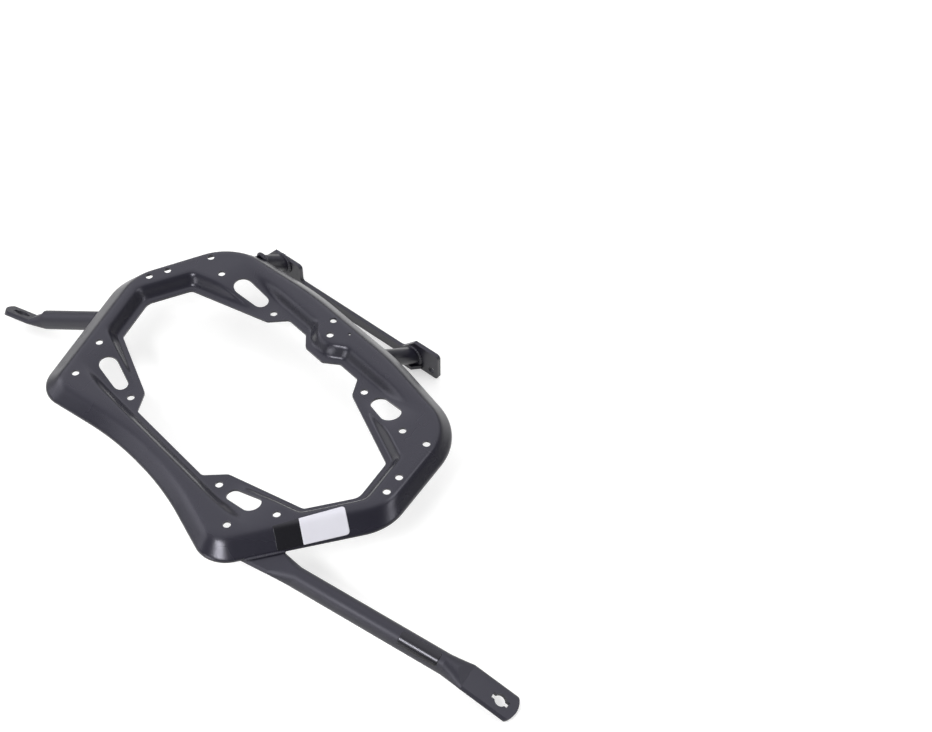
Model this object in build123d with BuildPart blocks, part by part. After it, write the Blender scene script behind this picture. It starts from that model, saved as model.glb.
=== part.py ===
# Pannier frame of a motorbike: a pressed sheet ring that carries the case,
# two short leg tubes ending in one long foot plate, and two tube arms with
# flattened ends. Lengths in millimetres. Origin at the middle of the four case
# bolts, on top of the lip; front end towards +X, legs towards +Y, floor below.

from build123d import *
from math import atan2, cos, hypot, radians, sin
import os

# Pressed ring: sheet, levels, and how high the lip stands above the floor.
sheet = 2.2
press_depth = 14.3
skirt_height = 4.3
stand_height = 48.9

# Rails: where the lip runs along either side, and how far outside it the ring's edge lies.
lip_leg_rail = 85.0
lip_low_rail = -84.3
leg_corner_width = 28.0
leg_bend_width = 42.5
low_corner_width = 52.7
waist_width = 32.0

# Outer edge of the ring, front half, each corner with its radius.
nose = (197.0, -2.5)
nose_radius = 50.0
leg_corner_x = 163.0
leg_corner_radius = 60.0
leg_bend_x = 58.0
leg_bend_radius = 300.0
low_corner_x = 128.0
low_corner_radius = 28.0
waist_x = 36.0
waist_radius = 300.0

# Width of the sloping flank between the flat top and the skirt, side by side.
flank_leg_end = 10.0
flank_leg_rail = 12.5
flank_low_end = 17.0
flank_low_rail = 13.0

# Opening inside the lip, front half.
lip_nose = (155.5, -0.5)
lip_leg_corner = (142.5, 40.5)
lip_leg_tip = (62.0, 68.5)
lip_leg_tip_root = 50.0
lug_front = 74.3
lug_half_width = 12.0
lug_root = 25.0
lip_low_corner = (134.0, -42.5)
lip_low_tip = (62.5, -66.8)
lip_low_tip_root = 48.5
lip_leg_radii = [12.0, 6.0, 7.0, 5.0, 5.0, 5.0]
lip_low_radii = [5.0, 7.0, 5.0]
recess_leg_radii = [14.0, 9.0, 3.0, 10.0, 10.0, 5.0]
recess_low_radii = [9.0, 3.0, 10.0]

# Recess between lip and flat top: where its floor ends and its wall tops out.
lip_width = 5.8
lug_lip_width = 6.0
wall_run_end = 4.8
wall_run_rail = 6.0
wall_run_lug = 3.0
ramp_foot = 80.0
ramp_run = 42.0
ramp_corner_radius = 6.0

# Rounding of the pressed edges.
top_edge_radius = 7.0
recess_edge_radius = 3.5

# Bolt holes and windows of the ring, front half; a window is given by the circles of its ends.
hole_diameter = 6.8
top_holes = [(156.3, 74.1), (131.3, 68.5), (168.6, 32.8), (173.4, 15.2), (131.4, -67.4),
             (113.0, -104.1)]
tip_hole_x = 66.1
tip_hole_y = 79.3
lug_hole_x = -12.4
lug_hole_width = 23.2
lug_pilot_x = 11.2
lug_pilot_diameter = 4.0
lug_tip_hole_depth = 19.8
leg_window = [(86.8, 79.3, 7.8), (106.6, 75.9, 9.5)]
low_window = [(84.8, -77.4, 6.7), (105.9, -74.6, 8.6)]

# Leg tubes: one slope for both.
leg_diameter = 16.0
leg_wall = 1.5
front_leg_x = 36.0
rear_leg_x = -135.5
leg_slope = 31.0
leg_root_width = 13.0
leg_root_drop = 8.0
leg_reach = 66.0

# Foot plate: upright, turned a little from the ring's length; heads, tabs and holes are
# given along the plate from the middle of their leg, with a small shelf under the front leg.
plate_thickness = 4.0
plate_turn = 7.0
plate_head = 29.5
rear_plate_head = 32.5
tie_top = 13.5
tie_bottom = 3.5
head_right = 29.0
head_left = -1.0
tab_left = -17.0
rear_head_right = 21.8
rear_head_left = -14.2
rear_tab_left = -31.2
plate_corner_radius = 4.0
plate_knee_radius = 2.0
tab_bend_radius = 8.0
rear_tab_bend_radius = 6.0
tie_end_radius = 3.0
tie_notch_radius = 1.5
tab_hole_diameter = 7.0
tab_hole_height = 7.5
tab_hole_offsets = [21.0, -13.0]
rear_tab_hole_offsets = [13.8, -20.2]
shelf_depth = 9.4
shelf_right = 10.0
shelf_left = -8.5
shelf_corner = 6.3
shelf_corner_start = 2.0

# Arms: tube with flattened ends; flats and tips give their height above the floor.
arm_diameter = 18.0
arm_wall = 2.0
flat_width = 25.0
flat_thickness = 4.6
flat_end_bulge = 5.0
front_root = (151.0, -94.5)
front_flat = (331.0, -37.0, 19.5)
front_tip = (372.5, -23.0)
front_root_length = 22.0
front_root_end = 9.5
front_root_bend = 5.5
front_root_neck = 19.5
front_neck = 20.0
tip_press = 16.0
root_press = 19.5
neck_end_height = 8.0
rear_root = (-150.0, -31.3, 0.1)
rear_flat = (-249.4, -77.1, 7.7)
rear_tip = (-271.9, -89.9, 13.3)
rear_roll = 33.0
rear_neck = 20.0
key_diameter = 10.5
key_notch_width = 5.0
key_notch_length = 15.0
key_from_tip = 15.5

ring_base = -sheet
lip_level = 0.0
ring_top = ring_base + press_depth
floor = -stand_height
flank_drop = press_depth - skirt_height
recess_depth = press_depth - sheet


def grow(points, distances):
    """Moves each side of a counter-clockwise polygon outward by its own distance."""
    lines = []
    count = len(points)
    for i in range(count):
        ax, ay = points[i]
        bx, by = points[(i + 1) % count]
        length = hypot(bx - ax, by - ay)
        nx = (by - ay) / length
        ny = (ax - bx) / length
        lines.append((nx, ny, nx * ax + ny * ay + distances[i]))
    moved = []
    for i in range(count):
        a1, b1, c1 = lines[i - 1]
        a2, b2, c2 = lines[i]
        det = a1 * b2 - a2 * b1
        moved.append(((c1 * b2 - c2 * b1) / det, (a1 * c2 - a2 * c1) / det))
    return moved


def mirrored(front_leg_side, front_low_side):
    """Closes a half outline, given from nose to mid rail on either side, across the YZ plane."""
    rear_leg_side = [(-x, y) for x, y in reversed(front_leg_side)]
    rear_low_side = [(-x, y) for x, y in front_low_side]
    return front_leg_side + rear_leg_side + rear_low_side + list(reversed(front_low_side))


def mirrored_values(leg_values, low_values):
    """The same order for a value that belongs to each corner of the half outline."""
    return leg_values + list(reversed(leg_values)) + low_values + list(reversed(low_values))


def region(points, radii, level):
    """Face of a rounded outline at one height."""
    with BuildSketch(Plane.XY.offset(level)) as face:
        with BuildLine():
            FilletPolyline(*points, radius=radii, close=True)
        make_face()
    return face.sketch


def sheet_shift(run, drop):
    """Sideways shift, one sheet lower down, of the underside of a sloping wall."""
    return sheet * (hypot(run, drop) - run) / drop


# Outlines shared by the two sides of the sheet.
leg_corner = (leg_corner_x, lip_leg_rail + leg_corner_width)
leg_bend = (leg_bend_x, lip_leg_rail + leg_bend_width)
low_corner = (low_corner_x, lip_low_rail - low_corner_width)
waist = (waist_x, lip_low_rail - waist_width)
edge = mirrored([nose, leg_corner, leg_bend], [low_corner, waist])
edge_radii = mirrored_values([nose_radius, leg_corner_radius, leg_bend_radius],
                             [low_corner_radius, waist_radius])
flanks = [flank_leg_end, flank_leg_rail, flank_leg_rail, flank_leg_rail, flank_leg_end,
          flank_low_end, flank_low_rail, flank_low_rail, flank_low_rail, flank_low_end]
turns = [-1, -1, -1, -1, -1, -1, -1, 1, 1, -1]


def edge_region(insets, level):
    """Outer outline moved in by one distance per side."""
    moved = grow(edge, [-d for d in insets])
    radii = [max(r + s * (insets[i - 1] + insets[i]) / 2, 4.0)
             for i, (r, s) in enumerate(zip(edge_radii, turns))]
    return region(moved, radii, level)


# Lip opening and the recess that steps down to it; each list runs from the nose round the leg side.
opening = mirrored([lip_nose, lip_leg_corner, lip_leg_tip, (lip_leg_tip_root, lip_leg_rail),
                    (lug_root, lip_leg_rail), (lug_half_width, lug_front)],
                   [lip_low_corner, lip_low_tip, (lip_low_tip_root, lip_low_rail)])
opening_radii = mirrored_values(lip_leg_radii, lip_low_radii)
recess_radii = mirrored_values(recess_leg_radii, recess_low_radii)
leg_widths = [lip_width, lip_width, lip_width, lip_width, lug_lip_width]
floor_widths = leg_widths + [lug_lip_width] + leg_widths[::-1] + [lip_width] * 7
leg_runs = [wall_run_end, wall_run_end, wall_run_end, wall_run_rail, wall_run_lug]
low_runs = [wall_run_end] * 3 + [wall_run_rail] + [wall_run_end] * 3
wall_runs = leg_runs + [wall_run_lug] + leg_runs[::-1] + low_runs


def recess_region(widths, level):
    """Recess outline: the lip opening moved out by one distance per side."""
    return region(grow(opening, widths), recess_radii, level)


def ramp(side, root, rail, strip, wall_shift, ramp_shift, drop):
    """Cut that lowers one gusset: level at the lip, then up a ramp, walled off along the rail."""
    out = 1 if rail > 0 else -1
    sections = []
    for level, foot, wall in ((lip_level - drop, ramp_foot, lip_width),
                              (ring_top - drop, ramp_foot + ramp_run, lip_width + wall_run_rail)):
        x1 = side * (foot + ramp_shift)
        x0 = side * (root - lip_width)
        y1 = rail + out * (wall + wall_shift)
        with BuildSketch(Plane.XY.offset(level)) as face:
            with BuildLine():
                Polyline((x0, strip), (x1, strip), (x1, y1), (x0, y1), close=True)
            make_face()
        sections.append(face.sketch)
    return sections


def window_region(ends, side):
    """Face of one window, a tapered slot: its two end circles and the tangents that join them."""
    with BuildSketch(Plane.XY.offset(ring_base)) as face:
        for x, y, radius in ends:
            with Locations((side * x, y)):
                Circle(radius)
        make_hull()
    return face.sketch


def gusset_cut(side, root, rail, strip):
    """The same cut as a solid, rounded where the ramp meets the wall along the rail."""
    out = 1 if rail > 0 else -1
    with BuildPart() as cut:
        loft(sections=ramp(side, root, rail, strip, 0.0, 0.0, 0.0), ruled=True)
        rising = cut.edges().filter_by(lambda e: abs((e @ 1).Z - (e @ 0).Z) > sheet)
        outward = rising.sort_by(lambda e: side * e.center().X + out * e.center().Y)
        fillet(outward[-1], radius=ramp_corner_radius)
    return cut.part


leg_strip = (lip_leg_corner[1] + lip_leg_tip[1]) / 2
low_strip = (lip_low_corner[1] + lip_low_tip[1]) / 2
ramps = [(1, lip_leg_tip_root, lip_leg_rail, leg_strip), (-1, lip_leg_tip_root, lip_leg_rail, leg_strip),
         (1, lip_low_tip_root, lip_low_rail, low_strip), (-1, lip_low_tip_root, lip_low_rail, low_strip)]

gusset_cuts = [gusset_cut(*values) for values in ramps]

# Room under the sheet, used to hollow the ring and to cope the tubes welded into it.
shifts = [sheet_shift(w, flank_drop) for w in flanks]
wall_shifts = [sheet_shift(r, recess_depth) for r in wall_runs]
with BuildPart() as cavity:
    loft(sections=[edge_region(shifts, ring_top - flank_drop - sheet),
                   edge_region([w + s for w, s in zip(flanks, shifts)], ring_top - sheet)], ruled=True)
    extrude(edge_region(shifts, ring_base), amount=ring_top - flank_drop - sheet - ring_base)
    extrude(edge_region([sheet] * 10, ring_base), amount=press_depth, mode=Mode.INTERSECT)
    loft(sections=[recess_region([w + s for w, s in zip(floor_widths, wall_shifts)], ring_base),
                   recess_region([w + r + s for w, r, s in zip(floor_widths, wall_runs, wall_shifts)],
                                 ring_top - sheet)], ruled=True, mode=Mode.SUBTRACT)
    for side, root, rail, strip in ramps:
        loft(sections=ramp(side, root, rail, strip, sheet_shift(wall_run_rail, recess_depth),
                           sheet_shift(ramp_run, recess_depth), sheet), ruled=True, mode=Mode.SUBTRACT)

# Ring: one pressing, flat top, flanks down to a short skirt, stepped inner lip with four gussets.
with BuildPart() as ring_pressing:
    extrude(edge_region([0.0] * 10, ring_base), amount=skirt_height)
    loft(sections=[edge_region([0.0] * 10, ring_base + skirt_height),
                   edge_region(flanks, ring_top)], ruled=True)
    loft(sections=[recess_region(floor_widths, lip_level),
                   recess_region([w + r for w, r in zip(floor_widths, wall_runs)], ring_top)],
         ruled=True, mode=Mode.SUBTRACT)
    add(gusset_cuts, mode=Mode.SUBTRACT)
    flat_top = ring_pressing.faces().sort_by(Axis.Z)[-1]
    fillet(flat_top.inner_wires()[0].edges(), radius=recess_edge_radius)
    flat_top = ring_pressing.faces().sort_by(Axis.Z)[-1]
    fillet(flat_top.outer_wire().edges(), radius=top_edge_radius)
    add(cavity.part, mode=Mode.SUBTRACT)
    extrude(region(opening, opening_radii, ring_base), amount=press_depth, mode=Mode.SUBTRACT)
    with BuildSketch(Plane.XY.offset(ring_base)):
        for side in (1, -1):
            with Locations(*[(side * x, y) for x, y in top_holes]):
                Circle(hole_diameter / 2)
            with Locations((side * tip_hole_x, tip_hole_y), (side * tip_hole_x, -tip_hole_y)):
                Circle(hole_diameter / 2)
        with Locations((lug_hole_x, lip_leg_rail + lug_hole_width), (0, lug_front + lug_tip_hole_depth)):
            Circle(hole_diameter / 2)
        with Locations((lug_pilot_x, lip_leg_rail + lug_hole_width)):
            Circle(lug_pilot_diameter / 2)
    extrude(amount=press_depth, mode=Mode.SUBTRACT)
    for window in (leg_window, low_window):
        extrude(window_region(window, 1), amount=press_depth, mode=Mode.SUBTRACT)
        extrude(window_region(window, -1), amount=press_depth, mode=Mode.SUBTRACT)

# Foot plate: near face turned by plate_turn, two heads behind the legs, a tie between them.
leg_root_y = lip_leg_rail + leg_root_width
plate_y = leg_root_y + leg_reach
turn = radians(plate_turn)
rear_leg_along = (rear_leg_x - front_leg_x) / cos(turn)
plate_plane = Plane(origin=(front_leg_x, plate_y, floor), x_dir=(cos(turn), sin(turn), 0),
                    z_dir=(sin(turn), -cos(turn), 0))
plate_outline = [(head_right, 0.0), (head_right, plate_head), (head_left, plate_head),
                 (tab_left, tie_top), (rear_leg_along + rear_head_right, tie_top),
                 (rear_leg_along + rear_head_right, rear_plate_head),
                 (rear_leg_along + rear_head_left, rear_plate_head),
                 (rear_leg_along + rear_tab_left, tie_top),
                 (rear_leg_along + rear_tab_left, 0.0), (rear_leg_along + rear_head_right, 0.0),
                 (rear_leg_along + rear_head_right + tie_bottom, tie_bottom),
                 (tab_left - tie_bottom, tie_bottom), (tab_left, 0.0)]
shelf_plane = Plane(origin=(front_leg_x, plate_y, floor + tie_bottom), x_dir=(cos(turn), sin(turn), 0),
                    z_dir=(0, 0, 1))
plate_radii = [plate_corner_radius, plate_corner_radius, plate_knee_radius, tab_bend_radius,
               tie_end_radius, plate_corner_radius, plate_knee_radius, rear_tab_bend_radius,
               plate_corner_radius] + [tie_notch_radius] * 4
with BuildSketch(shelf_plane) as shelf_outline:
    with BuildLine():
        Polyline((shelf_left, 0), (shelf_left, -shelf_depth),
                 (shelf_right - shelf_corner, -shelf_depth), (shelf_right, -shelf_corner_start),
                 (shelf_right, 0), close=True)
    make_face()

with BuildPart() as foot_plate:
    with BuildSketch(plate_plane):
        with BuildLine():
            FilletPolyline(*plate_outline, radius=plate_radii, close=True)
        make_face()
        with Locations(*[(u, tab_hole_height) for u in tab_hole_offsets]):
            Circle(tab_hole_diameter / 2, mode=Mode.SUBTRACT)
        with Locations(*[(rear_leg_along + u, tab_hole_height) for u in rear_tab_hole_offsets]):
            Circle(tab_hole_diameter / 2, mode=Mode.SUBTRACT)
    extrude(amount=-plate_thickness)
    extrude(shelf_outline.sketch, amount=plate_thickness)

# Legs: straight tubes, coped into the underside of the leg rail, cut flush to the foot plate
# and to its shelf.
leg_dir = (0, cos(radians(leg_slope)), -sin(radians(leg_slope)))


def leg_plane(x):
    """Square section of a leg tube at its root."""
    return Plane(origin=(x, leg_root_y, ring_top - leg_root_drop), x_dir=(1, 0, 0), z_dir=leg_dir)


with BuildPart() as under_ring:
    with BuildSketch(Plane.XY.offset(ring_base)):
        Rectangle(4 * nose[0], 4 * nose[0])
    extrude(amount=-2 * stand_height)
    add(cavity.part)

with BuildPart() as front_leg_tube:
    with BuildSketch(leg_plane(front_leg_x)):
        Circle(leg_diameter / 2)
        Circle(leg_diameter / 2 - leg_wall, mode=Mode.SUBTRACT)
    extrude(amount=2 * (plate_y - leg_root_y))
    add(under_ring.part, mode=Mode.INTERSECT)
    split(bisect_by=plate_plane, keep=Keep.TOP)
    add(foot_plate.part, mode=Mode.SUBTRACT)
    extrude(shelf_outline.sketch, amount=-stand_height, mode=Mode.SUBTRACT)

with BuildPart() as rear_leg_tube:
    with BuildSketch(leg_plane(rear_leg_x)):
        Circle(leg_diameter / 2)
        Circle(leg_diameter / 2 - leg_wall, mode=Mode.SUBTRACT)
    extrude(amount=2 * (plate_y - leg_root_y))
    add(under_ring.part, mode=Mode.INTERSECT)
    split(bisect_by=plate_plane, keep=Keep.TOP)


# Arms: round tube between flattened ends, the outer end pierced by a keyed hole.
def across(direction, roll):
    """Unit vector across the arm: level, then rolled about the arm."""
    level = Vector(0, 0, 1).cross(direction).normalized()
    return level * cos(radians(roll)) + direction.cross(level) * sin(radians(roll))


def section(point, direction, roll=0.0):
    """Plane square to the arm, local x across it."""
    return Plane(origin=point, x_dir=across(direction, roll), z_dir=direction)


def flat_profile(plane):
    """Section of a flattened end: the neck's oval with its top and bottom pressed flat."""
    with BuildSketch(plane) as face:
        Ellipse(flat_width / 2, neck_end_height / 2)
        Rectangle(flat_width, flat_thickness, mode=Mode.INTERSECT)
    return face.sketch


def paddle_outline(point, direction, length, roll=0.0):
    """Plan of a flattened end with its rounded tip and keyed hole, local x along the arm."""
    flat = Plane(origin=point, x_dir=direction, z_dir=direction.cross(across(direction, roll)))
    half = flat_width / 2
    with BuildSketch(flat) as face:
        with BuildLine():
            shoulder = length - flat_end_bulge
            Polyline((shoulder, half), (0, half), (0, -half), (shoulder, -half))
            ThreePointArc((shoulder, -half), (length, 0), (shoulder, half))
        make_face()
        with Locations((length - key_from_tip, 0)):
            Circle(key_diameter / 2, mode=Mode.SUBTRACT)
            Rectangle(key_notch_length, key_notch_width, mode=Mode.SUBTRACT)
    return face.sketch


def pressed_neck(tube_end, tube_axis, flat_start, flat_axis, press, roll=0.0):
    """Neck from tube to flattened end: a flaring shell squeezed between two sloping planes."""
    half = flat_thickness / 2
    with BuildPart() as neck:
        with BuildSketch(section(tube_end, tube_axis)):
            Circle(arm_diameter / 2)
        with BuildSketch(section(flat_start, flat_axis, roll)):
            Ellipse(flat_width / 2, neck_end_height / 2)
        loft()
        side = Plane(origin=flat_start, x_dir=flat_axis, z_dir=across(flat_axis, roll))
        back = side.to_local_coords(tube_end)
        reach = back.X - arm_diameter / 2
        middle = back.Y * reach / back.X
        rise = half + (arm_diameter / 2 - half) * abs(reach) / press
        with BuildSketch(side):
            with BuildLine():
                Polyline((0, half), (0, -half), (reach, middle - rise), (reach, middle + rise), close=True)
            make_face()
        extrude(amount=flat_width, both=True, mode=Mode.INTERSECT)
    return neck.part


root_middle = Vector(front_root[0], front_root[1], ring_base - flat_thickness / 2)
plan = Vector(front_flat[0] - front_root[0], front_flat[1] - front_root[1], 0).normalized()
root_start = root_middle - plan * front_root_length
root_end = root_middle + plan * front_root_end
front_start = root_end + plan * front_root_neck - Vector(0, 0, front_root_bend)
front_paddle_start = Vector(front_flat[0], front_flat[1], floor + front_flat[2])
front_axis = (front_paddle_start - front_start).normalized()
front_end = front_paddle_start - front_axis * front_neck
paddle_run = hypot(front_tip[0] - front_flat[0], front_tip[1] - front_flat[1])
pitch = atan2(front_flat[2] - flat_thickness / 2, paddle_run)
front_paddle_tip = Vector(front_tip[0], front_tip[1], floor + flat_thickness / 2 * cos(pitch))
front_paddle_axis = (front_paddle_tip - front_paddle_start).normalized()
front_paddle_length = (front_paddle_tip - front_paddle_start).length
with BuildPart() as front_paddle:
    extrude(flat_profile(section(front_paddle_start, front_paddle_axis)), amount=front_paddle_length)
    extrude(paddle_outline(front_paddle_start, front_paddle_axis, front_paddle_length),
            amount=flat_thickness, both=True, mode=Mode.INTERSECT)

front_root_shell = pressed_neck(front_start, -front_axis, root_end, -plan, root_press)
front_tip_shell = pressed_neck(front_end, front_axis, front_paddle_start, front_paddle_axis, tip_press)
with BuildPart() as front_arm:
    extrude(flat_profile(section(root_start, plan)), amount=(root_end - root_start).length)
    with BuildSketch(section(front_start, front_axis)):
        Circle(arm_diameter / 2)
    extrude(amount=(front_end - front_start).length)
    add(front_root_shell)
    add(front_tip_shell)
    add(front_paddle.part)
    with BuildSketch(section(front_start, front_axis)):
        Circle(arm_diameter / 2 - arm_wall)
    extrude(amount=(front_end - front_start).length, mode=Mode.SUBTRACT)

rear_start = Vector(*rear_root)
rear_paddle_start = Vector(rear_flat[0], rear_flat[1], floor + rear_flat[2])
rear_paddle_tip = Vector(rear_tip[0], rear_tip[1], floor + rear_tip[2])
rear_axis = (rear_paddle_start - rear_start).normalized()
rear_end = rear_paddle_start - rear_axis * rear_neck
rear_paddle_axis = (rear_paddle_tip - rear_paddle_start).normalized()
rear_paddle_length = (rear_paddle_tip - rear_paddle_start).length
with BuildPart() as rear_paddle:
    extrude(flat_profile(section(rear_paddle_start, rear_paddle_axis, rear_roll)),
            amount=rear_paddle_length)
    extrude(paddle_outline(rear_paddle_start, rear_paddle_axis, rear_paddle_length, rear_roll),
            amount=flat_thickness, both=True, mode=Mode.INTERSECT)

rear_tip_shell = pressed_neck(rear_end, rear_axis, rear_paddle_start, rear_paddle_axis, tip_press,
                              rear_roll)
with BuildPart() as rear_arm:
    with BuildSketch(section(rear_start, rear_axis)):
        Circle(arm_diameter / 2)
    extrude(amount=(rear_end - rear_start).length)
    add(rear_tip_shell)
    add(rear_paddle.part)
    with BuildSketch(section(rear_start, rear_axis)):
        Circle(arm_diameter / 2 - arm_wall)
    extrude(amount=(rear_end - rear_start).length, mode=Mode.SUBTRACT)
    add(under_ring.part, mode=Mode.INTERSECT)

os.makedirs("parts", exist_ok=True)
ring_pressing.part.label = "ring_pressing"
export_step(ring_pressing.part, "parts/ring_pressing.step")
foot_plate.part.label = "foot_plate"
export_step(foot_plate.part, "parts/foot_plate.step")
front_leg_tube.part.label = "front_leg_tube"
export_step(front_leg_tube.part, "parts/front_leg_tube.step")
rear_leg_tube.part.label = "rear_leg_tube"
export_step(rear_leg_tube.part, "parts/rear_leg_tube.step")
front_arm.part.label = "front_arm"
export_step(front_arm.part, "parts/front_arm.step")
rear_arm.part.label = "rear_arm"
export_step(rear_arm.part, "parts/rear_arm.step")
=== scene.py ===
import bpy
import numpy as np
from mathutils import Matrix, Vector
from mathutils.geometry import delaunay_2d_cdt


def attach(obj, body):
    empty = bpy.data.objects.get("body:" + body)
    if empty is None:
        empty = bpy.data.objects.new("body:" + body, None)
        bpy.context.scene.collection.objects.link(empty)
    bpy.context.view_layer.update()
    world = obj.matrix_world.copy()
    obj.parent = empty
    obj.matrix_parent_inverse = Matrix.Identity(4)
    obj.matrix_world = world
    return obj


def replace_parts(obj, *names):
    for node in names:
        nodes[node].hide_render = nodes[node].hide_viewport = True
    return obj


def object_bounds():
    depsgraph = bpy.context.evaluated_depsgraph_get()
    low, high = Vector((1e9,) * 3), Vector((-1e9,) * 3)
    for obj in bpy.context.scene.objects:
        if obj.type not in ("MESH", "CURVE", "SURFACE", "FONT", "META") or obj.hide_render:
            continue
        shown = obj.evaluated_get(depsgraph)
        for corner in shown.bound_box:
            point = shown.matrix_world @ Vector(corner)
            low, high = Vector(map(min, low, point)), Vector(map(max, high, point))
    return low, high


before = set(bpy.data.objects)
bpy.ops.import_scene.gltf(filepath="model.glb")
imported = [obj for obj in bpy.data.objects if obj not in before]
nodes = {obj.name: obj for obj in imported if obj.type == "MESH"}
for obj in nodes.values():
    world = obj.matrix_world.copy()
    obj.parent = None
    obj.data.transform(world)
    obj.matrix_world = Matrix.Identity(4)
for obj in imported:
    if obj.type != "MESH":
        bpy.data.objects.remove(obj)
cad_low, cad_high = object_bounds()


# Ring pressing: one steel sheet pressed into a flat ring with sloping flanks and a short skirt, a
# lip stepped down round its opening and four gussets that ramp down to it. The press leaves only
# soft bends, so the sheet is drawn as one height over the plan and then given its thickness.
mm = 0.001
sheet = 2.2 * mm
lip_level, top_level, skirt_level = 0.0, 12.1 * mm, -0.4 * mm
ring_base = -sheet
fold_reach, fold_drop, fold_steps = 1.2 * mm, 1.3 * mm, 5
mesh_step = 1.4 * mm
rim_gap = 0.55 * mesh_step
soft_share, soft_rounds = 0.5, 10
crisp_angle = np.radians(55.0)
edge_leg_side = [(197.0, -2.5), (163.0, 113.0), (58.0, 127.5)]
edge_low_side = [(128.0, -137.0), (36.0, -116.3)]
edge_radii = ([50.0, 60.0, 300.0], [28.0, 300.0])
flat_radius_loss, flat_radius_least = 12.0, 8.0
flank_widths = [10.0, 12.5, 12.5, 12.5, 10.0, 17.0, 13.0, 13.0, 13.0, 17.0]
lip_leg_side = [(155.5, -0.5), (142.5, 40.5), (62.0, 68.5), (50.0, 85.0), (25.0, 85.0), (12.0, 74.3)]
lip_low_side = [(134.0, -42.5), (62.5, -66.8), (48.5, -84.3)]
lip_radii = ([12.0, 6.0, 7.0, 5.0, 5.0, 5.0], [5.0, 7.0, 5.0])
recess_radii = ([14.0, 9.0, 3.0, 10.0, 10.0, 22.0], [9.0, 3.0, 10.0])
lip_width, rail_wall_run = 5.8, 6.0
leg_wall_runs = [4.8, 4.8, 4.8, 6.0, 4.5, 6.5, 4.5, 6.0, 4.8, 4.8, 4.8]
low_wall_runs = [4.8, 4.8, 4.8, 6.0, 4.8, 4.8, 4.8]
leg_rail, low_rail = 85.0, 84.3
ramp_foot, ramp_run = 80.0, 42.0
gusset_root, root_run = 46.0, 6.0
wall_bends, ramp_bends, root_bends = (0.38, 0.65), (0.22, 0.30), (0.3, 0.3)
end_start, end_run = 105.0, 30.0
rail_crown_bend, end_crown_bend = 0.40, 0.20
least_flank, least_wall = 4.0 * mm, 2.0 * mm
hole_radius, pilot_radius = 3.4, 1.5
hole_points, window_points = 28, 20
pair_holes = [(156.3, 74.1), (131.3, 68.5), (168.6, 32.8), (173.4, 15.2), (131.4, -67.4),
              (113.0, -104.1), (66.1, 79.3), (66.1, -79.3)]
lug_holes = [(-12.4, 108.2), (0.0, 94.1)]
lug_pilot = (11.2, 108.2)
window_ends = [[(86.8, 79.3, 7.8), (106.6, 75.9, 9.5)], [(84.8, -77.4, 6.7), (105.9, -74.6, 8.6)]]


def mirrored(leg_side, low_side):
    """Closes a half outline, given from the nose to mid rail on either side, across the YZ plane."""
    turned = [[(-x, y) for x, y in reversed(leg_side)], [(-x, y) for x, y in low_side]]
    return np.array(leg_side + turned[0] + turned[1] + low_side[::-1])


def grow(points, distances):
    """Moves each side of a counter-clockwise outline outward by its own distance; a new corner is
    where two moved sides n.p = c cross."""
    along = np.roll(points, -1, 0) - points
    normal = np.stack([along[:, 1], -along[:, 0]], 1) / np.linalg.norm(along, axis=1, keepdims=True)
    level = (normal * points).sum(1) + distances
    pairs = np.stack([np.roll(normal, 1, 0), normal], 1)
    return np.linalg.solve(pairs, np.stack([np.roll(level, 1), level], 1)[..., None])[..., 0]


def rounded(points, radii):
    """Closed outline in metres: each corner becomes the arc tangent to its two sides, and arcs and
    sides are sampled at about one mesh step."""
    stretch = []
    for before, corner, after, radius in zip(np.roll(points, 1, 0), points, np.roll(points, -1, 0), radii):
        back = (before - corner) / np.linalg.norm(before - corner)
        ahead = (after - corner) / np.linalg.norm(after - corner)
        half = np.arccos(back @ ahead) / 2.0
        centre = corner + (back + ahead) / np.linalg.norm(back + ahead) * radius / np.sin(half)
        first = corner + back * radius / np.tan(half) - centre
        last = corner + ahead * radius / np.tan(half) - centre
        start = np.arctan2(first[1], first[0])
        sweep = (np.arctan2(last[1], last[0]) - start + np.pi) % (2.0 * np.pi) - np.pi
        turn = start + np.linspace(0.0, sweep, 3 + int(abs(sweep) * radius * mm / mesh_step))
        stretch.append(centre + radius * np.stack([np.cos(turn), np.sin(turn)], 1))
    outline = []
    for arc, following in zip(stretch, stretch[1:] + stretch[:1]):
        gap = np.linalg.norm(following[0] - arc[-1])
        share = np.linspace(0.0, 1.0, 2 + int(gap * mm / mesh_step))[1:-1, None]
        outline += [arc, arc[-1] + share * (following[0] - arc[-1])]
    return np.concatenate(outline) * mm


def clearance(x, y, outline):
    """Distance to a closed outline, positive inside it: the nearest of its segments, and inside where
    a ray crosses it an odd number of times."""
    nearest = np.full(x.shape, np.inf)
    inside = np.zeros(x.shape, bool)
    for (ax, ay), (bx, by) in zip(outline, np.roll(outline, -1, 0)):
        ux, uy = bx - ax, by - ay
        share = np.clip(((x - ax) * ux + (y - ay) * uy) / (ux * ux + uy * uy + 1e-18), 0.0, 1.0)
        nearest = np.minimum(nearest, (x - ax - share * ux) ** 2 + (y - ay - share * uy) ** 2)
        if ay != by:
            inside ^= ((ay > y) != (by > y)) & (x < ax + (y - ay) * ux / uy)
    return np.where(inside, 1.0, -1.0) * np.sqrt(nearest)


def bend(distance, width):
    """0 before a bend and the distance itself after it, joined by a parabola of the given width."""
    middle = (distance + width) ** 2 / (4.0 * width)
    return np.where(distance <= -width, 0.0, np.where(distance >= width, distance, middle))


def rise(share, foot, crown):
    """Wall from 0 to 1 with a soft bend at its foot and one at its crown."""
    return bend(share, foot) - bend(share - 1.0, crown)


def both_values(values):
    """One value per corner, in the order of a mirrored outline."""
    leg_values, low_values = values
    return leg_values + leg_values[::-1] + low_values + low_values[::-1]


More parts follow.
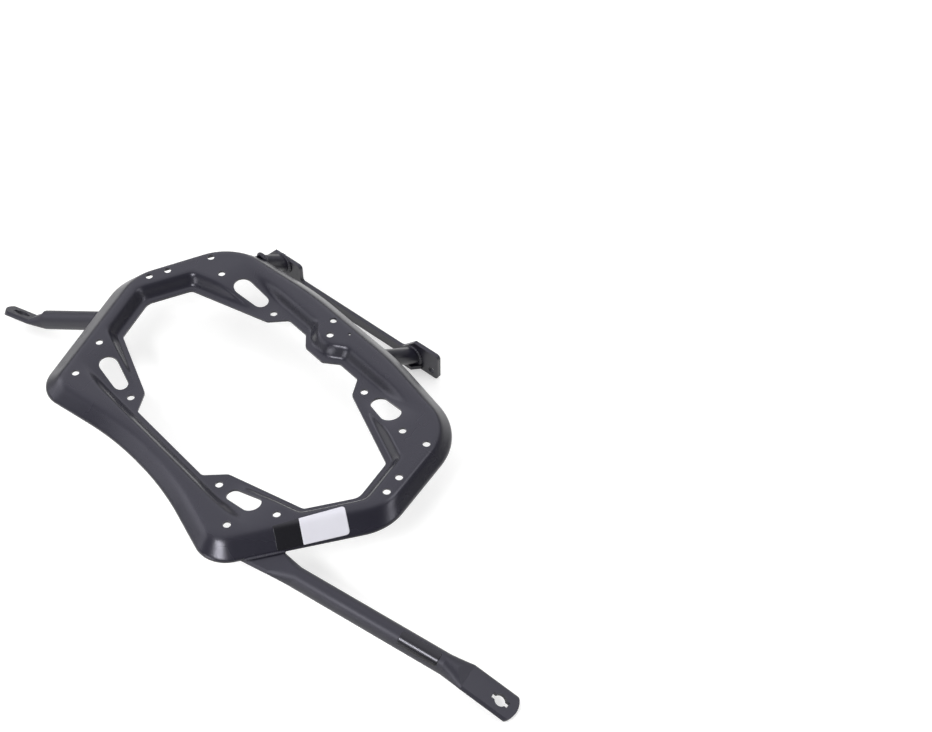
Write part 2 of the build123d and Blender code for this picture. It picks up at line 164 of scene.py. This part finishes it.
edge = mirrored(edge_leg_side, edge_low_side)
lip = mirrored(lip_leg_side, lip_low_side)
wall_runs = np.array(leg_wall_runs + low_wall_runs)
edge_outline = rounded(edge, both_values(edge_radii))
flat_radii = np.maximum(np.array(both_values(edge_radii)) - flat_radius_loss, flat_radius_least)
flat_outline = rounded(grow(edge, -np.array(flank_widths)), flat_radii)
lip_outline = rounded(lip, both_values(lip_radii))
foot_outline = rounded(grow(lip, np.full(len(lip), lip_width)), both_values(recess_radii))
crown_outline = rounded(grow(lip, lip_width + wall_runs), both_values(recess_radii))


def sheet_height(x, y):
    """Top of the sheet over the plan: the flat, less the flank outside it and the recess inside it. The
    recess is the lower of the wall round the lip and of the gussets, each 1 on the flat and 0 at the
    lip; a gusset is the ramp along the ring, joined to the wall along its rail. The flank's crown is
    tighter at the two ends than along the rails."""
    from_edge = clearance(x, y, edge_outline)
    to_flat = -clearance(x, y, flat_outline)
    flank = from_edge / np.maximum(from_edge + to_flat, least_flank)
    at_ends = np.clip((np.abs(x) / mm - end_start) / end_run, 0.0, 1.0)
    crown_bend = rail_crown_bend + (end_crown_bend - rail_crown_bend) * at_ends
    flank = flank - bend(flank - 1.0, crown_bend)
    from_foot = -clearance(x, y, foot_outline)
    to_crown = clearance(x, y, crown_outline)
    wall = rise(from_foot / np.maximum(from_foot + to_crown, least_wall), *wall_bends)
    ramp = rise((np.abs(x) / mm - ramp_foot) / ramp_run, *ramp_bends)
    rail = np.where(y > 0.0, leg_rail, low_rail)
    rail_wall = rise((np.abs(y) / mm - rail - lip_width) / rail_wall_run, *wall_bends)
    root = rise((gusset_root - np.abs(x) / mm) / root_run, *root_bends)
    gusset = 1.0 - (1.0 - ramp) * (1.0 - rail_wall) * (1.0 - root)
    return (skirt_level + (top_level - skirt_level) * flank
            + (top_level - lip_level) * (np.minimum(wall, gusset) - 1.0))


def circle(place, radius):
    """Outline of a hole, in metres."""
    turn = np.linspace(0.0, 2.0 * np.pi, hole_points, endpoint=False)
    return (np.array(place) + radius * np.stack([np.cos(turn), np.sin(turn)], 1)) * mm


def slot(ends, side):
    """Outline of a tapered window: half of either end circle, joined by their common tangents."""
    (ax, ay, ar), (bx, by, br) = [(side * x, y, radius) for x, y, radius in ends]
    heading = np.arctan2(by - ay, bx - ax)
    lean = np.arccos((ar - br) / np.hypot(bx - ax, by - ay))
    near = heading + np.linspace(lean, 2.0 * np.pi - lean, window_points)
    far = heading + np.linspace(-lean, lean, window_points)
    return np.concatenate([np.stack([ax + ar * np.cos(near), ay + ar * np.sin(near)], 1),
                           np.stack([bx + br * np.cos(far), by + br * np.sin(far)], 1)]) * mm


def grid_quads(index):
    """A quad between each four neighbours of a grid of vertex numbers."""
    corners = [index[:-1, :-1], index[1:, :-1], index[1:, 1:], index[:-1, 1:]]
    return np.stack(corners, -1).reshape(-1, 4)


def smooth_object(name, points, faces, mat):
    """Object in the scene with a smooth-shaded mesh and one material."""
    mesh = bpy.data.meshes.new(name)
    mesh.from_pydata(points.tolist(), [], faces)
    mesh.polygons.foreach_set("use_smooth", np.ones(len(mesh.polygons), bool))
    mesh.materials.append(mat)
    piece = bpy.data.objects.new(name, mesh)
    bpy.context.scene.collection.objects.link(piece)
    return piece


def pressed_sheet(name, mat):
    """Mesh of the ring: the plan between edge, opening, holes and windows filled with even triangles and
    lifted to sheet_height, then the fold at the edge, a parabola from flank to skirt, and the
    skirt itself. Smoothing eases the sheet between its rims, and Solidify gives it its thickness below."""
    inner_edge = rounded(grow(edge, np.full(len(edge), -fold_reach / mm)), both_values(edge_radii))
    cut_outs = [lip_outline, circle(lug_pilot, pilot_radius)]
    cut_outs += [circle(place, hole_radius) for place in lug_holes]
    for side in (1.0, -1.0):
        cut_outs += [circle((side * x, y), hole_radius) for x, y in pair_holes]
        cut_outs += [slot(ends, side) for ends in window_ends]

    def margin(x, y):
        """Distance to the nearest rim, positive on the sheet."""
        inside = clearance(x, y, inner_edge)
        for outline in cut_outs:
            inside = np.minimum(inside, -clearance(x, y, outline))
        return inside

    low, high = inner_edge.min(0), inner_edge.max(0)
    row_step = mesh_step * np.sqrt(0.75)
    rows = int((high[1] - low[1]) / row_step) + 1
    cols = int((high[0] - low[0]) / mesh_step) + 1
    row, col = np.meshgrid(np.arange(rows), np.arange(cols), indexing="ij")
    grid_x = low[0] + (col + 0.5 * (row % 2)) * mesh_step
    grid_y = low[1] + row * row_step
    grid = np.stack([grid_x, grid_y], -1).reshape(-1, 2)
    grid = grid[margin(grid[:, 0], grid[:, 1]) > rim_gap]
    loops = [inner_edge] + cut_outs
    starts = np.cumsum([0] + [len(loop) for loop in loops])
    rims = []
    for start, loop in zip(starts, loops):
        rims += [(start + i, start + (i + 1) % len(loop)) for i in range(len(loop))]
    plan = np.concatenate(loops + [grid])
    filled = delaunay_2d_cdt([Vector(p) for p in plan], rims, [], 0, 1e-9)
    plan = np.array([tuple(p) for p in filled[0]])
    triangles = np.array(filled[2])
    middle = plan[triangles].mean(1)
    triangles = triangles[margin(middle[:, 0], middle[:, 1]) > 0.0]
    first, second, third = (plan[triangles[:, k]] for k in range(3))
    (ux, uy), (wx, wy) = (second - first).T, (third - first).T
    triangles = np.where((ux * wy > uy * wx)[:, None], triangles, triangles[:, ::-1])
    points = np.column_stack([plan, sheet_height(plan[:, 0], plan[:, 1])])

    rim = points[:len(inner_edge)]
    run = np.roll(rim, -1, 0)[:, :2] - np.roll(rim, 1, 0)[:, :2]
    out = np.stack([run[:, 1], -run[:, 0]], 1) / np.linalg.norm(run, axis=1, keepdims=True)
    knee = np.column_stack([rim[:, :2] + fold_reach * out, np.full(len(rim), skirt_level)])
    drop = knee - [0.0, 0.0, fold_drop]
    foot = np.column_stack([knee[:, :2], np.full(len(rim), ring_base)])
    share = np.linspace(0.0, 1.0, fold_steps + 1)[1:, None, None]
    fold = (1.0 - share) ** 2 * rim + 2.0 * share * (1.0 - share) * knee + share ** 2 * drop
    skirt = np.concatenate([fold, [0.5 * (drop + foot)], [foot]])
    count = len(rim)
    skirt_ids = len(points) + np.arange(len(skirt) * count).reshape(-1, count)
    ids = np.concatenate([np.arange(count)[None], skirt_ids])
    quads = grid_quads(np.concatenate([ids, ids[:, :1]], 1))
    all_points = np.concatenate([points, skirt.reshape(-1, 3)])
    piece = smooth_object(name, all_points, triangles.tolist() + quads.tolist(), mat)
    pressed = piece.vertex_groups.new(name="pressed")
    pressed.add(list(range(int(starts[-1]), len(points))), 1.0, "REPLACE")
    bends = piece.modifiers.new("soft_bends", "SMOOTH")
    bends.factor = soft_share
    bends.iterations = soft_rounds
    bends.vertex_group = "pressed"
    gauge = piece.modifiers.new("gauge", "SOLIDIFY")
    gauge.thickness = sheet
    gauge.offset = -1.0
    crisp = piece.modifiers.new("crisp_rims", "EDGE_SPLIT")
    crisp.split_angle = crisp_angle
    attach(piece, "root")
    return piece


coat_colour = (0.0120, 0.0115, 0.0170, 1.0)
coat_light = (0.0165, 0.0160, 0.0225, 1.0)
ring_roughness = (0.24, 0.31)
sheet_peel, tube_peel, weld_peel = 0.10, 0.07, 0.16
cloud_scale, peel_scale, grain_scale = 14.0, 620.0, 2600.0
noise_low, noise_high = 0.3, 0.7
grain_in_tint, grain_in_bump = 0.6, 0.35
peel_height = 0.0004


def powder_coat(name, dark, light, roughness, peel):
    """Satin powder coat: two dark greys mixed by slow noise and fine grain, gloss by cloudy
    noise, and a bump that adds the grain to the wider waves of the orange peel."""
    mat = bpy.data.materials.new(name)
    mat.use_nodes = True
    tree = mat.node_tree
    shader = tree.nodes["Principled BSDF"]
    place = tree.nodes.new("ShaderNodeTexCoord")

    def noise(scale, detail):
        """Noise fixed to the piece."""
        node = tree.nodes.new("ShaderNodeTexNoise")
        node.inputs["Scale"].default_value = scale
        node.inputs["Detail"].default_value = detail
        tree.links.new(place.outputs["Object"], node.inputs["Vector"])
        return node.outputs["Fac"]

    def span(value, low, high):
        """The usual range of a noise, stretched from low to high."""
        node = tree.nodes.new("ShaderNodeMapRange")
        node.inputs["From Min"].default_value = noise_low
        node.inputs["From Max"].default_value = noise_high
        node.inputs["To Min"].default_value = low
        node.inputs["To Max"].default_value = high
        tree.links.new(value, node.inputs["Value"])
        return node.outputs["Result"]

    def together(first, second, share):
        """Two noises in one, with the second's share."""
        node = tree.nodes.new("ShaderNodeMix")
        node.inputs["Factor"].default_value = share
        tree.links.new(first, node.inputs["A"])
        tree.links.new(second, node.inputs["B"])
        return node.outputs["Result"]

    clouds = noise(cloud_scale, 3.0)
    waves = noise(peel_scale, 1.0)
    grain = noise(grain_scale, 2.0)
    tint = tree.nodes.new("ShaderNodeMix")
    tint.data_type = "RGBA"
    tint.inputs["A"].default_value = dark
    tint.inputs["B"].default_value = light
    tree.links.new(span(together(clouds, grain, grain_in_tint), 0.0, 1.0), tint.inputs["Factor"])
    tree.links.new(tint.outputs["Result"], shader.inputs["Base Color"])
    tree.links.new(span(clouds, *roughness), shader.inputs["Roughness"])
    bump = tree.nodes.new("ShaderNodeBump")
    bump.inputs["Strength"].default_value = peel
    bump.inputs["Distance"].default_value = peel_height
    tree.links.new(together(waves, grain, grain_in_bump), bump.inputs["Height"])
    tree.links.new(bump.outputs["Normal"], shader.inputs["Normal"])
    return mat


def dress(node, mat):
    """Gives a solid of the frame its finish."""
    node.data.materials.clear()
    node.data.materials.append(mat)


ring_coat = powder_coat("ring_coat", coat_colour, coat_light, ring_roughness, sheet_peel)
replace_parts(pressed_sheet("pressed_ring", ring_coat), "ring_pressing")


# Legs and foot plate: two short steel tubes under the leg rail, and the flat plate with the
# bolt tabs that they are welded to. Same powder as the ring, a little duller.
leg_roughness, plate_roughness = (0.28, 0.36), (0.32, 0.40)
leg_coat = powder_coat("leg_coat", coat_colour, coat_light, leg_roughness, tube_peel)
plate_coat = powder_coat("plate_coat", coat_colour, coat_light, plate_roughness, sheet_peel)
dress(nodes["front_leg_tube"], leg_coat)
dress(nodes["rear_leg_tube"], leg_coat)
dress(nodes["foot_plate"], plate_coat)


# Arms: drawn steel tube, pressed flat at the ends and pierced with a keyed hole. The powder
# is duller here than on the sheet, so that the round tube shows no hard line of light.
arm_roughness = (0.44, 0.52)
arm_coat = powder_coat("arm_coat", coat_colour, coat_light, arm_roughness, tube_peel)
dress(nodes["front_arm"], arm_coat)
dress(nodes["rear_arm"], arm_coat)


# Weld beads: the seams that join the legs to the foot plate and to the ring's skirt, and the
# long arm to the ring. Each is a row of overlapping drops, coated with the rest.
bead_sides = 12
drop_pitch, drop_waist, drop_swell = 1.1, 0.90, 0.16
run_out = 6
foot_bead_radius, skirt_bead_radius, arm_bead_radius = 0.0022, 0.0023, 0.0017
foot_bead_points, skirt_bead_points, arm_bead_points = 192, 64, 96
saddle_half_angle = 58.0
bead_stand, arm_bead_lift = 0.0003, 0.0004
leg_slope = np.radians(31.0)
leg_radius = 0.008
front_leg_x, rear_leg_x = 0.036, -0.1355
front_skirt_y, rear_skirt_y = 0.1264, 0.1185
leg_root_y, leg_root_z = 0.098, 0.0041
plate_turn = np.radians(7.0)
plate_point = np.array([front_leg_x, 0.164, cad_low[2]])
weld_roughness = (0.36, 0.50)
weld_coat = powder_coat("weld_coat", coat_colour, coat_light, weld_roughness, weld_peel)


def shell(name, points, wrap_rows, wrap_cols, mat):
    """Piece from a grid of points [row, column]: the last row or column is joined to the first
    where the shape closes on itself, and the ends of an open tube are capped."""
    rows, cols = points.shape[:2]
    index = np.arange(rows * cols).reshape(rows, cols)
    if wrap_rows:
        index = np.concatenate([index, index[:1]], 0)
    if wrap_cols:
        index = np.concatenate([index, index[:, :1]], 1)
    faces = grid_quads(index).tolist()
    if wrap_cols and not wrap_rows:
        faces += [index[0, :-1].tolist(), index[-1, :-1][::-1].tolist()]
    piece = smooth_object(name, points.reshape(-1, 3), faces, mat)
    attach(piece, "root")
    return piece


def bead(name, path, first, second, radius, closed):
    """Weld bead: circles of the bead's radius carried along the path in the plane of two given
    directions. The radius swells and pinches once per drop, and runs out at open ends."""
    count = len(path)
    step = np.linspace(0.0, 1.0, count, endpoint=not closed)
    length = np.linalg.norm(np.diff(path, axis=0), axis=1).sum()
    drops = max(4, int(round(length / (drop_pitch * radius))))
    size = radius * (drop_waist + drop_swell * np.abs(np.sin(np.pi * drops * step)))
    if not closed:
        size = size * np.sqrt(np.clip(1.0 - np.abs(2.0 * step - 1.0) ** run_out, 0.01, 1.0))
    turn = np.linspace(0.0, 2.0 * np.pi, bead_sides, endpoint=False)
    ring = np.cos(turn)[None, :, None] * first[:, None] + np.sin(turn)[None, :, None] * second[:, None]
    points = path[:, None] + size[:, None, None] * ring
    shell(name, points, closed, True, weld_coat)


leg_axis = np.array([0.0, np.cos(leg_slope), -np.sin(leg_slope)])
leg_side = np.array([1.0, 0.0, 0.0])
leg_up = np.cross(leg_side, leg_axis)
plate_normal = np.array([np.sin(plate_turn), -np.cos(plate_turn), 0.0])


def leg_foot_bead(name, x):
    """Closed bead where a leg meets the plate: the tube's circle slid along the tube's own
    direction until it lies in the plate's near face, an ellipse."""
    angle = np.linspace(0.0, 2.0 * np.pi, foot_bead_points, endpoint=False)[:, None]
    outward = np.cos(angle) * leg_side + np.sin(angle) * leg_up
    tube_end = np.array([x, leg_root_y, leg_root_z]) + leg_radius * outward
    slide = (plate_point - tube_end) @ plate_normal / (leg_axis @ plate_normal)
    path = tube_end + slide[:, None] * leg_axis + bead_stand * plate_normal
    flat = outward - (outward @ plate_normal)[:, None] * plate_normal
    flat = flat / np.linalg.norm(flat, axis=1, keepdims=True)
    bead(name, path, flat, np.broadcast_to(plate_normal, flat.shape), foot_bead_radius, True)


def leg_skirt_bead(name, x, skirt_y):
    """Saddle bead between the skirt's lower edge and the tube passing below it: the upper arc of
    the ellipse that a level cut across the ring takes through the sloping tube."""
    angle = np.radians(np.linspace(-saddle_half_angle, saddle_half_angle, skirt_bead_points))
    centre_z = leg_root_z - (skirt_y - leg_root_y) * np.tan(leg_slope)
    path = np.stack([x + leg_radius * np.sin(angle), np.full(angle.shape, skirt_y),
                     centre_z + leg_radius / np.cos(leg_slope) * np.cos(angle)], 1)
    across = np.stack([np.sin(angle), np.zeros(angle.shape), np.cos(angle)], 1)
    bead(name, path, across, np.broadcast_to([0.0, 1.0, 0.0], across.shape), skirt_bead_radius, False)


def skirt_edge_bead(name, start, end):
    """Straight bead along the skirt's lower edge, over the flattened root of the long arm: distances
    from the low corner along the ring's front low side."""
    corner = edge[-1] * mm
    heading = (edge[0] - edge[-1]) / np.linalg.norm(edge[0] - edge[-1])
    outward = np.array([heading[1], -heading[0], 0.0])
    along = np.linspace(start, end, arm_bead_points)[:, None]
    level = np.full(len(along), ring_base + arm_bead_lift)
    path = np.column_stack([corner + along * heading, level]) + bead_stand * outward
    across = np.broadcast_to(outward, path.shape)
    bead(name, path, across, np.broadcast_to([0.0, 0.0, 1.0], path.shape), arm_bead_radius, False)


skirt_edge_bead("front_arm_skirt_weld", 0.030, 0.065)
leg_foot_bead("front_leg_foot_weld", front_leg_x)
leg_foot_bead("rear_leg_foot_weld", rear_leg_x)
leg_skirt_bead("front_leg_skirt_weld", front_leg_x, front_skirt_y)
leg_skirt_bead("rear_leg_skirt_weld", rear_leg_x, rear_skirt_y)


# Two-field sticker on the front low flank: printed vinyl, a dark field and a pale one, laid over
# the rounded shoulder. Both fields are plain.
flank_start, flank_end = edge[-1] * mm, edge[0] * mm
flank_along = (flank_end - flank_start) / np.linalg.norm(flank_end - flank_start)
flank_out = np.array([flank_along[1], -flank_along[0]])
sticker_start, sticker_split, sticker_end = 0.058, 0.080, 0.1188
split_gap = 0.0002
sticker_height = 0.0195
low_edge, low_lean = 0.0004, 0.02
high_edge, high_lean = 0.0176, 0.085
dark_corner, split_corner, pale_corner = 0.0010, 0.0001, 0.0026
vinyl_lift, vinyl_thickness = 0.00018, 0.00012
vinyl_bump, wave_height = 0.05, 0.0003
mottle_scale, wave_scale, mottle_shade = 90.0, 400.0, 0.94


def flank_point(along, inward, lift):
    """Point over the ring's flank, at a distance along it and inward from its edge, a little above the
    sheet."""
    flat = flank_start + along[..., None] * flank_along - inward[..., None] * flank_out
    height = sheet_height(flat[..., 0], flat[..., 1]) + lift
    return np.concatenate([flat, height[..., None]], -1)


def vinyl(name, colour, roughness):
    """Printed vinyl: an even colour with slow mottling, and faint waves where it lies on powder."""
    mat = bpy.data.materials.new(name)
    mat.use_nodes = True
    tree = mat.node_tree
    shader = tree.nodes["Principled BSDF"]
    place = tree.nodes.new("ShaderNodeTexCoord")
    mottle = tree.nodes.new("ShaderNodeTexNoise")
    mottle.inputs["Scale"].default_value = mottle_scale
    tree.links.new(place.outputs["Object"], mottle.inputs["Vector"])
    tint = tree.nodes.new("ShaderNodeMix")
    tint.data_type = "RGBA"
    tint.inputs["A"].default_value = (*[mottle_shade * c for c in colour], 1.0)
    tint.inputs["B"].default_value = (*colour, 1.0)
    tree.links.new(mottle.outputs["Fac"], tint.inputs["Factor"])
    tree.links.new(tint.outputs["Result"], shader.inputs["Base Color"])
    shader.inputs["Roughness"].default_value = roughness
    waves = tree.nodes.new("ShaderNodeTexNoise")
    waves.inputs["Scale"].default_value = wave_scale
    tree.links.new(place.outputs["Object"], waves.inputs["Vector"])
    bump = tree.nodes.new("ShaderNodeBump")
    bump.inputs["Strength"].default_value = vinyl_bump
    bump.inputs["Distance"].default_value = wave_height
    tree.links.new(waves.outputs["Fac"], bump.inputs["Height"])
    tree.links.new(bump.outputs["Normal"], shader.inputs["Normal"])
    return mat


def drawn_in(from_side, corner):
    """How far a row is drawn in, at a distance from a long side, to round the corner: a quarter
    circle."""
    return corner - np.sqrt(corner ** 2 - np.clip(corner - from_side, 0.0, corner) ** 2)


def back_up(piece, thickness):
    """Gives a label its thickness, on the side of what it lies on."""
    backing = piece.modifiers.new("backing", "SOLIDIFY")
    backing.thickness = thickness
    backing.offset = -1.0


def field(name, start, end, corner_start, corner_end, mat):
    """One field of the sticker: a grid over the flank, from a low side to a high side that both lean
    a little, with its corners rounded at either end."""
    across = np.linspace(0.0, 1.0, 40)[:, None]
    run = np.linspace(0.0, 1.0, 60)[None, :]
    from_side = sticker_height * np.minimum(across, 1.0 - across)
    first = start + drawn_in(from_side, corner_start)
    last = end - drawn_in(from_side, corner_end)
    along = first + (last - first) * run
    low = low_edge + (along - sticker_start) * low_lean
    high = high_edge + (along - sticker_start) * high_lean
    inward = low + (high - low) * across
    back_up(shell(name, flank_point(along, inward, vinyl_lift), False, False, mat), vinyl_thickness)


dark_vinyl = vinyl("dark_vinyl", (0.006, 0.006, 0.007), 0.24)
pale_vinyl = vinyl("pale_vinyl", (0.66, 0.66, 0.65), 0.42)
field("sticker_dark_field", sticker_start, sticker_split - split_gap, dark_corner, split_corner, dark_vinyl)
field("sticker_pale_field", sticker_split, sticker_end, split_corner, pale_corner, pale_vinyl)


# Blank strip on the long arm: a glossy dark label wrapped over the tube's upper side. It is plain,
# of the same vinyl as the sticker's dark field.
strip_start = np.array([0.17862475, -0.08567543, -0.0100])
strip_axis = np.array([0.94564838, 0.30208212, -0.12039737])
tube_radius = 0.009
strip_from, strip_to, strip_corner = 0.100, 0.1365, 0.0022
strip_low, strip_high = np.radians(-66.0), np.radians(14.0)
strip_lift, strip_thickness = 0.00016, 0.0001


def strip_surface(start, end, low, high, corner):
    """Grid on the tube: position along it, and angle from the top, with rounded corners."""
    side = np.cross([0.0, 0.0, 1.0], strip_axis)
    side = side / np.linalg.norm(side)
    up = np.cross(strip_axis, side)
    across = np.linspace(0.0, 1.0, 32)[:, None]
    run = np.linspace(0.0, 1.0, 60)[None, :]
    pull = drawn_in(tube_radius * (high - low) * np.minimum(across, 1.0 - across), corner)
    along = (start + pull) + (end - start - 2.0 * pull) * run
    angle = low + (high - low) * across
    around = np.sin(angle)[..., None] * side + np.cos(angle)[..., None] * up
    return strip_start + along[..., None] * strip_axis + (tube_radius + strip_lift) * around


strip_points = strip_surface(strip_from, strip_to, strip_low, strip_high, strip_corner)
back_up(shell("arm_strip", strip_points, False, False, dark_vinyl), strip_thickness)


# Studio: a seamless white floor that turns up into a backdrop all round, a surround that is brighter
# high up behind the ring, and five soft boxes. The camera stands where the photo's stood.
floor_reach, backdrop_height, backdrop_lean = 12.0, 3.4, 0.4
floor_gap = 0.0002
paper_colour = (0.636, 0.642, 0.574, 1.0)
glow_near, glow_far = 0.54, 0.10
glow_start, glow_end = 0.8, 2.6
floor_rim = floor_reach + backdrop_lean
floor_lines = np.array([-floor_rim, -floor_reach, floor_reach, floor_rim])
floor_x, floor_y = np.meshgrid(floor_lines, floor_lines, indexing="ij")
floor_rise = np.where(np.maximum(abs(floor_x), abs(floor_y)) > floor_reach, backdrop_height, -floor_gap)
floor_points = np.stack([floor_x, floor_y, cad_low[2] + floor_rise], -1)
floor_quads = grid_quads(np.arange(floor_x.size).reshape(floor_x.shape))
floor_mesh = bpy.data.meshes.new("floor")
floor_mesh.from_pydata(floor_points.reshape(-1, 3).tolist(), [], floor_quads.tolist())
floor = bpy.data.objects.new("floor", floor_mesh)
bpy.context.scene.collection.objects.link(floor)
paper = bpy.data.materials.new("floor_paper")
paper.use_nodes = True
paper_tree = paper.node_tree
paper_shader = paper_tree.nodes["Principled BSDF"]
paper_shader.inputs["Base Color"].default_value = paper_colour
paper_shader.inputs["Roughness"].default_value = 0.9
paper_shader.inputs["Specular IOR Level"].default_value = 0.0
floor_mesh.materials.append(paper)


def seen_rays(tree):
    """1 for rays that show the surface itself: from the camera, in gloss, or through glass."""
    path = tree.nodes.new("ShaderNodeLightPath")
    total = path.outputs["Is Camera Ray"]
    for other in ("Is Glossy Ray", "Is Transmission Ray"):
        either = tree.nodes.new("ShaderNodeMath")
        either.operation = "MAXIMUM"
        tree.links.new(total, either.inputs[0])
        tree.links.new(path.outputs[other], either.inputs[1])
        total = either.outputs[0]
    return total


paper_place = paper_tree.nodes.new("ShaderNodeTexCoord")
from_middle = paper_tree.nodes.new("ShaderNodeVectorMath")
from_middle.operation = "LENGTH"
paper_tree.links.new(paper_place.outputs["Object"], from_middle.inputs[0])
fade = paper_tree.nodes.new("ShaderNodeMapRange")
fade.interpolation_type = "SMOOTHSTEP"
fade.inputs["From Min"].default_value = glow_start
fade.inputs["From Max"].default_value = glow_end
fade.inputs["To Min"].default_value = glow_near
fade.inputs["To Max"].default_value = glow_far
paper_tree.links.new(from_middle.outputs["Value"], fade.inputs["Value"])
glow = paper_tree.nodes.new("ShaderNodeMath")
glow.operation = "MULTIPLY"
paper_tree.links.new(seen_rays(paper_tree), glow.inputs[0])
paper_tree.links.new(fade.outputs["Result"], glow.inputs[1])
paper_shader.inputs["Emission Color"].default_value = (1.0, 1.0, 1.0, 1.0)
paper_tree.links.new(glow.outputs[0], paper_shader.inputs["Emission Strength"])

world = bpy.data.worlds.new("studio")
bpy.context.scene.world = world
world.use_nodes = True
world_tree = world.node_tree
surround = world_tree.nodes["Background"]
bright_side = (-0.612, 0.354, 0.707)
bright_start, bright_full = 0.30, 0.85
surround_low, surround_high = 0.15, 1.30
surround_tint = (0.975, 0.965, 1.08, 1.0)
direction = world_tree.nodes.new("ShaderNodeTexCoord")
facing = world_tree.nodes.new("ShaderNodeVectorMath")
facing.operation = "DOT_PRODUCT"
facing.inputs[1].default_value = bright_side
world_tree.links.new(direction.outputs["Generated"], facing.inputs[0])
shade = world_tree.nodes.new("ShaderNodeMapRange")
shade.interpolation_type = "SMOOTHSTEP"
shade.inputs["From Min"].default_value = bright_start
shade.inputs["From Max"].default_value = bright_full
shade.inputs["To Min"].default_value = surround_low
shade.inputs["To Max"].default_value = surround_high
world_tree.links.new(facing.outputs["Value"], shade.inputs["Value"])
world_tree.links.new(shade.outputs["Result"], surround.inputs["Strength"])
surround.inputs["Color"].default_value = surround_tint


def soft_box(name, place, aim, width, height, power):
    """Rectangular lamp that faces a point."""
    data = bpy.data.lights.new(name, "AREA")
    data.shape = "RECTANGLE"
    data.size = width
    data.size_y = height
    data.energy = power
    data.color = surround_tint[:3]
    lamp = bpy.data.objects.new(name, data)
    lamp.location = place
    away = np.array(place) - np.array(aim)
    away = away / np.linalg.norm(away)
    side = np.cross([0.0, 0.0, 1.0], away)
    side = side / np.linalg.norm(side)
    up = np.cross(away, side)
    lamp.rotation_euler = Matrix(np.stack([side, up, away], 1).tolist()).to_euler()
    bpy.context.scene.collection.objects.link(lamp)


soft_box("corner_box", (0.38, -1.04, 1.18), (0.12, -0.13, 0.0), 0.60, 0.28, 13.4)
soft_box("side_box", (1.20, 0.62, 0.74), (0.15, 0.0, 0.0), 0.26, 0.4, 1.9)
soft_box("back_box", (0.64, 0.68, 1.04), (0.33, -0.04, 0.0), 0.5, 0.5, 2.6)
soft_box("left_low_box", (-1.15, -0.90, 0.58), (0.0, 0.0, 0.0), 1.2, 0.6, 3.6)
soft_box("front_low_box", (0.08, -1.30, 0.25), (0.0, 0.08, 0.0), 0.55, 0.4, 3.6)

lens_pixels, image_width, sensor_width = 1549.409, 932, 36.0
camera_data = bpy.data.cameras.new("camera")
camera_data.sensor_fit = "HORIZONTAL"
camera_data.sensor_width = sensor_width
camera_data.lens = lens_pixels * sensor_width / image_width
camera_data.clip_start = 0.05
camera_data.clip_end = 50.0
camera = bpy.data.objects.new("camera", camera_data)
view_right = (0.67174859, 0.74070003, 0.01083)
view_up = (-0.54448049, 0.4837765, 0.68520164)
view_back = (0.50228958, -0.46617996, 0.72827291)
camera_place = (0.8073019, -0.4855806, 1.0212694)
view_rows = [list(row) for row in zip(view_right, view_up, view_back, camera_place)]
camera.matrix_world = Matrix(view_rows + [[0.0, 0.0, 0.0, 1.0]])
bpy.context.scene.collection.objects.link(camera)
bpy.context.scene.camera = camera
bpy.context.scene.view_settings.view_transform = "Standard"
